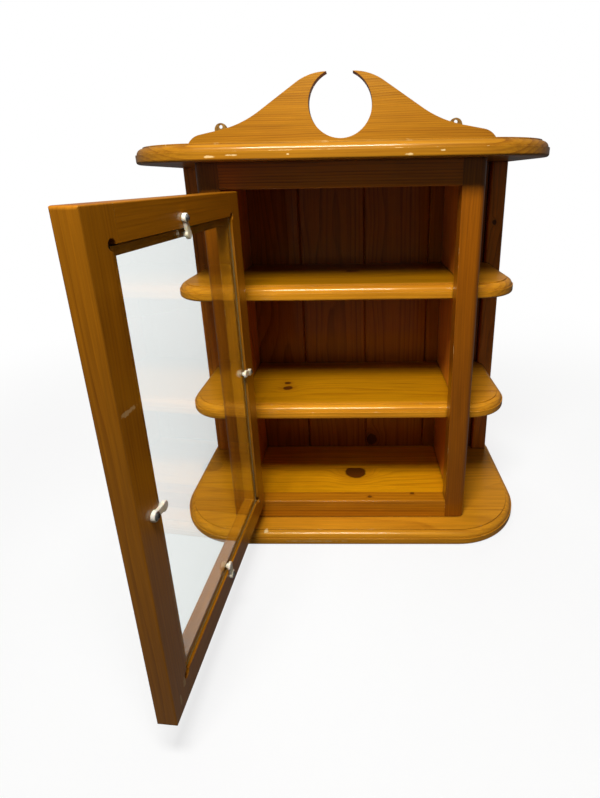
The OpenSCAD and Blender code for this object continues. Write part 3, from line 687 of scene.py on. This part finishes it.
class CASE_OT_boards(PineOperator, bpy.types.Operator):
    """Finish the base, the top and the two shelves"""

    bl_idname = "case.boards"
    bl_label = "Base, top and shelves"

    def execute(self, context):
        return self.finish_boards(context, [
            ("base_board", "honey", Cut(X, Z, (0, -0.05), 0.0042, 1.7, 0.5), {
                "level": 0.88, "strips": (0.1, -0.064), "inner": (1.22, -0.062), "wear": 0.35,
                "knots": [Knot((0.010, 0.024, 0.019), 0.014)],
                "scuffs": [
                    Scuff((-0.1133, -0.105, 0.019), (0.004, 0.003, 0.003)),
                    Scuff((-0.05, -0.1115, 0.0066), (0.045, 0.002, 0.0008), 0.4),
                ],
            }),
            ("top_board", "honey", Cut(X, Z, (0, -0.06), 0.004, 4.1, 0.8), {
                "level": 0.52, "strips": (0.1, -0.02), "wear": 0.6,
                "scuffs": [
                    Scuff((-0.137, -0.1115, 0.5105), (0.006, 0.003, 0.0013), 0.6),
                    Scuff((-0.1123, -0.1115, 0.512), (0.008, 0.003, 0.0008), 0.6),
                    Scuff((-0.053, -0.1115, 0.5118), (0.002, 0.003, 0.0009), 0.7),
                    Scuff((0.0752, -0.1115, 0.5093), (0.005, 0.003, 0.001), 0.6),
                    Scuff((0.1094, -0.1115, 0.5126), (0.003, 0.003, 0.0009), 0.6),
                ],
            }),
            ("upper_shelf", "honey", Cut(X, Z, (0, -0.055), 0.0042, 8.3, 0.6), {
                "level": 0.8, "strips": (0.09, 0.005), "inner": (0.59, -0.042), "wear": 0.35,
                "knots": [Knot((0.010, 0.0415, 0.3555), 0.008)],
            }),
            ("lower_shelf", "honey", Cut(X, Z, (0, -0.06), 0.0042, 12.9, 0.6), {
                "level": 0.95, "strips": (0.095, 0.012), "inner": (0.74, -0.042), "wear": 0.35,
                "knots": [Knot((-0.092, 0.021, 0.1845), 0.004), Knot((-0.0895, 0.0036, 0.1845), 0.006)],
            }),
        ])


class CASE_OT_face_frame(PineOperator, bpy.types.Operator):
    """Finish the stiles and rails of the face frame"""

    bl_idname = "case.face_frame"
    bl_label = "Face frame"

    def execute(self, context):
        return self.finish_boards(context, [
            ("left_stile", "brown", Cut(Z, -Y, (0.1, -0.08), 0.0026, 2.2, 0.55, 0.3), {}),
            ("right_stile", "brown", Cut(Z, -Y, (-0.11, -0.08), 0.0026, 5.6, 0.55, 0.3), {}),
            # Same brown pine as the stiles, painted lighter: painted light in the shade under the top's
            # overhang
            ("top_rail", "brown", Cut(X, -Y, (0.08, -0.05), 0.0028, 3.9, 1.0, 0.4), {"level": 1.75}),
            ("bottom_rail", "amber", Cut(X, Z, (0.05, -0.06), 0.0032, 6.4, 0.8, 0.5), {
                "level": 0.72,
                "knots": [
                    Knot((0.032, -0.069, 0.046), 0.0024, 0.8),
                    Knot((0.094, -0.062, 0.046), 0.0024, 0.8),
                ],
            }),
        ])


class CASE_OT_sides(PineOperator, bpy.types.Operator):
    """Finish the side panels, the posts and the back boards"""

    bl_idname = "case.sides"
    bl_label = "Sides, posts and back"

    def execute(self, context):
        rows = []
        for number, level in enumerate(("lower", "middle", "upper")):
            for side, out in (("left", -X), ("right", X)):
                seed = 2.7 * number + (1.1 if side == "left" else 0.4)
                cut = Cut(Z, out, (0.01, -0.05), 0.0036, seed)
                rows.append((f"{side}_{level}_panel", "shaded", cut, {}))
        knots = {
            2: [Knot((-0.058, 0.1015, 0.217), 0.007)],
            4: [Knot((0.040, 0.1015, 0.033), 0.009)],
        }
        for number in range(1, 6):
            cut = Cut(Z, -Y, (0.012 * (number - 3), -0.045), 0.0038, 1.9 * number)
            rows.append((f"back_board_{number}", "back", cut, {
                "knots": knots.get(number, []), "grime_and_shade": 0.35,
            }))
        rows.append(("left_post", "shaded", Cut(Z, -Y, (0.02, -0.05), 0.0034, 7.7), {}))
        rows.append(("right_post", "shaded", Cut(Z, -Y, (-0.02, -0.05), 0.0034, 9.2), {
            "knots": [Knot((0.229, 0.0925, 0.418), 0.003)],
        }))
        return self.finish_boards(context, rows)


class CASE_OT_crest(PineOperator, bpy.types.Operator):
    """Finish the swan-neck crest"""

    bl_idname = "case.crest"
    bl_label = "Crest"

    def execute(self, context):
        return self.finish_boards(context, [
            ("crest", "honey", Cut(X, -Y, (-0.21, -0.02), 0.0031, 3.3, 0.8, 0.35), {
                "level": 0.56, "wear": 0.3,
            }),
        ])


class CASE_OT_door(PineOperator, bpy.types.Operator):
    """Finish the frame of the door"""

    bl_idname = "case.door"
    bl_label = "Door frame"

    def execute(self, context):
        common = {"level": 0.49, "grime_and_shade": 0.3}
        return self.finish_boards(context, [
            ("door_hinge_stile", "amber", Cut(Z, DOOR_Y, (0.12, -0.09), 0.0026, 1.2, 0.45, 0.3), common),
            ("door_free_stile", "amber", Cut(Z, DOOR_Y, (-0.12, -0.09), 0.0026, 6.8, 0.45, 0.3), {
                **common,
                "scuffs": [
                    Scuff((-0.1363, -0.3459, 0.3385), (0.003, 0.010, 0.0022), 0.35),
                    Scuff((-0.1358, -0.3376, 0.0719), (0.003, 0.002, 0.005), 0.3),
                    Scuff((-0.1364, -0.3463, 0.0622), (0.003, 0.0015, 0.006), 0.3),
                ],
            }),
            ("door_top_rail", "amber", Cut(DOOR_X, DOOR_Y, (0.1, -0.08), 0.0028, 4.4, 0.5, 0.4), common),
            ("door_bottom_rail", "amber", Cut(DOOR_X, DOOR_Y, (-0.1, -0.08), 0.0028, 8.9, 0.5, 0.4), {
                **common,
            }),
        ])


class CASE_OT_dowels(bpy.types.Operator):
    """Finish the hidden dowels"""

    bl_idname = "case.dowels"
    bl_label = "Dowels"

    def execute(self, context):
        looks = context.scene.case_looks
        beech = (looks.beech, looks.raw_pine)
        for node, grain in (
            ("face_frame_dowels", X), ("top_dowels", Z), ("panel_dowels", Z), ("door_dowels", DOOR_X),
        ):
            face = Y if abs(grain.y) < 0.5 else Z
            dress(node, pine("beech_" + node, looks, beech, Cut(grain, face, ring=0.0015), middle(node)))
        return {"FINISHED"}


class CASE_OT_glass(bpy.types.Operator):
    """Finish the glass pane"""

    bl_idname = "case.glass"
    bl_label = "Glass"

    def execute(self, context):
        looks = context.scene.case_looks
        # Clear large faces; the edges dark, painted shade along the rebate
        dress("glass_pane", clear_glass(looks), shaded_glass_edge(looks))
        for face in NODES["glass_pane"].data.polygons:
            face.material_index = 0 if abs(face.normal.dot(DOOR_Y)) > PANE_FACE else 1
        return {"FINISHED"}


class CASE_OT_clips(bpy.types.Operator):
    """Finish the turn clips that hold the glass"""

    bl_idname = "case.clips"
    bl_label = "Glass clips"

    def execute(self, context):
        plastic = cream_plastic(context.scene.case_looks)
        for node in ("top_clip", "bottom_clip", "free_stile_clip", "hinge_stile_clip"):
            dress(node, plastic)
        return {"FINISHED"}


class CASE_OT_fittings(bpy.types.Operator):
    """Finish the hinges, wall plates and screws"""

    bl_idname = "case.fittings"
    bl_label = "Hinges, plates and screws"

    def execute(self, context):
        looks = context.scene.case_looks
        brass = plain_metal("brass", looks.brass, looks.brass_dull, 0.34)
        steel = plain_metal("steel", looks.steel, looks.steel_dull, 0.36)
        for node in NODES:
            if node.endswith(("_leaf", "_hinge_pin", "_mirror_plate", "leaf_screws")):
                dress(node, brass)
            elif node in ("base_screws", "crest_screws", "plate_screws", "clip_screws"):
                dress(node, steel)
        return {"FINISHED"}


class CASE_OT_studio(bpy.types.Operator):
    """Set up the pale floor, the light and the camera"""

    bl_idname = "case.studio"
    bl_label = "Studio"

    def execute(self, context):
        studio = context.scene.case_studio
        self.floor(context, studio)
        self.world(context, studio)
        self.lamp(context, "main_lamp", studio.lamp_place, studio.lamp_size, studio.lamp_power)
        back = self.lamp(context, "back_lamp", studio.back_place, studio.back_size, studio.back_power)
        back.visible_glossy = False
        self.camera(context, studio)
        context.scene.view_settings.view_transform = "Standard"
        return {"FINISHED"}

    def sight(self, s, studio):
        """1 for rays that see the stage plainly, and the same with a share for those in gloss."""
        path = s.node("ShaderNodeLightPath", out="Is Camera Ray")
        outputs = path.socket.node.outputs
        seen = path.math("MAXIMUM", Sock(s, outputs["Is Transmission Ray"]))
        return seen, seen.math("MAXIMUM", Sock(s, outputs["Is Glossy Ray"]) * studio.shine)

    def floor(self, context, studio):
        mesh = bpy.data.meshes.new("floor")
        shape = bmesh.new()
        bmesh.ops.create_circle(shape, cap_ends=True, segments=FLOOR_SIDES, radius=FLOOR_R)
        shape.to_mesh(mesh)
        shape.free()
        floor = bpy.data.objects.new("floor", mesh)
        floor.location.z = CAD_BOX[0][2]
        context.collection.objects.link(floor)
        s = Shade(bpy.data.materials.new("pale_floor"))
        seen, shown = self.sight(s, studio)
        coords = s.node("ShaderNodeTexCoord", out="Object")
        away = s.vector("LENGTH", coords, (0, 0, 0), out="Value")
        share = shown * (FLOOR_GLOW + (1 - FLOOR_GLOW) * s.ease(away, FLOOR_NEAR, FLOOR_FAR))
        matt = s.node("ShaderNodeBsdfPrincipled", None, {
            "Base Color": s.mix(seen, studio.bounce, studio.floor), "Roughness": 0.9,
            "Specular IOR Level": 0.0,
        })
        glow = s.node("ShaderNodeEmission", None, {"Color": WHITE, "Strength": 1.0})
        mesh.materials.append(s.finish(s.node("ShaderNodeMixShader", None, {0: share, 1: matt, 2: glow})))

    def world(self, context, studio):
        world = bpy.data.worlds.new("studio")
        context.scene.world = world
        s = Shade(world)
        _, shown = self.sight(s, studio)
        colour = s.mix(shown, (studio.fill,) * 3, WHITE)
        s.finish(s.node("ShaderNodeBackground", None, {"Color": colour, "Strength": 1.0}))

    def lamp(self, context, name, place, size, power):
        data = bpy.data.lights.new(name, "AREA")
        data.shape = "RECTANGLE"
        data.size, data.size_y = size
        data.energy = power
        lamp = bpy.data.objects.new(name, data)
        lamp.location = place
        lamp.visible_camera = False
        lamp.rotation_mode = "QUATERNION"
        lamp.rotation_quaternion = (AIM - Vector(place)).to_track_quat("-Z", "Y")
        context.collection.objects.link(lamp)
        return lamp

    def camera(self, context, studio):
        ahead = Vector((
            math.sin(studio.heading) * math.cos(studio.pitch),
            math.cos(studio.heading) * math.cos(studio.pitch),
            math.sin(studio.pitch),
        ))
        level = Vector((math.cos(studio.heading), -math.sin(studio.heading), 0))
        upright = level.cross(ahead)
        right = math.cos(studio.roll) * level + math.sin(studio.roll) * upright
        up = math.cos(studio.roll) * upright - math.sin(studio.roll) * level
        data = bpy.data.cameras.new("camera")
        data.sensor_width = SENSOR
        data.lens = studio.focal * SENSOR / IMAGE_H
        data.shift_x = (IMAGE_W / 2 - studio.centre_x) / IMAGE_H
        data.shift_y = (studio.centre_y - IMAGE_H / 2) / IMAGE_H
        data.clip_start = 0.01
        camera = bpy.data.objects.new("camera", data)
        turn = Matrix((right, up, -ahead)).transposed().to_4x4()
        camera.matrix_world = Matrix.Translation(studio.eye) @ turn
        context.collection.objects.link(camera)
        context.scene.camera = camera


STEPS = (
    CASE_OT_boards, CASE_OT_face_frame, CASE_OT_sides, CASE_OT_crest, CASE_OT_door, CASE_OT_dowels,
    CASE_OT_glass, CASE_OT_clips, CASE_OT_fittings, CASE_OT_studio,
)


class CASE_PT_panel(bpy.types.Panel):
    """Lists the steps that finish the display case"""

    bl_idname = "CASE_PT_panel"
    bl_label = "Display case"
    bl_space_type = "VIEW_3D"
    bl_region_type = "UI"
    bl_category = "Display case"

    def draw(self, context):
        for step in STEPS:
            self.layout.operator(step.bl_idname)


CLASSES = (CaseLooks, CaseStudio, *STEPS, CASE_PT_panel)


def register():
    for cls in CLASSES:
        bpy.utils.register_class(cls)
    bpy.types.Scene.case_looks = bpy.props.PointerProperty(type=CaseLooks)
    bpy.types.Scene.case_studio = bpy.props.PointerProperty(type=CaseStudio)


def unregister():
    del bpy.types.Scene.case_studio
    del bpy.types.Scene.case_looks
    for cls in reversed(CLASSES):
        bpy.utils.unregister_class(cls)


def main():
    register()
    bpy.ops.case.boards()
    bpy.ops.case.face_frame()
    bpy.ops.case.sides()
    bpy.ops.case.crest()
    bpy.ops.case.door()
    bpy.ops.case.dowels()
    bpy.ops.case.glass()
    bpy.ops.case.clips()
    bpy.ops.case.fittings()
    bpy.ops.case.studio()


if __name__ == "__main__":
    main()
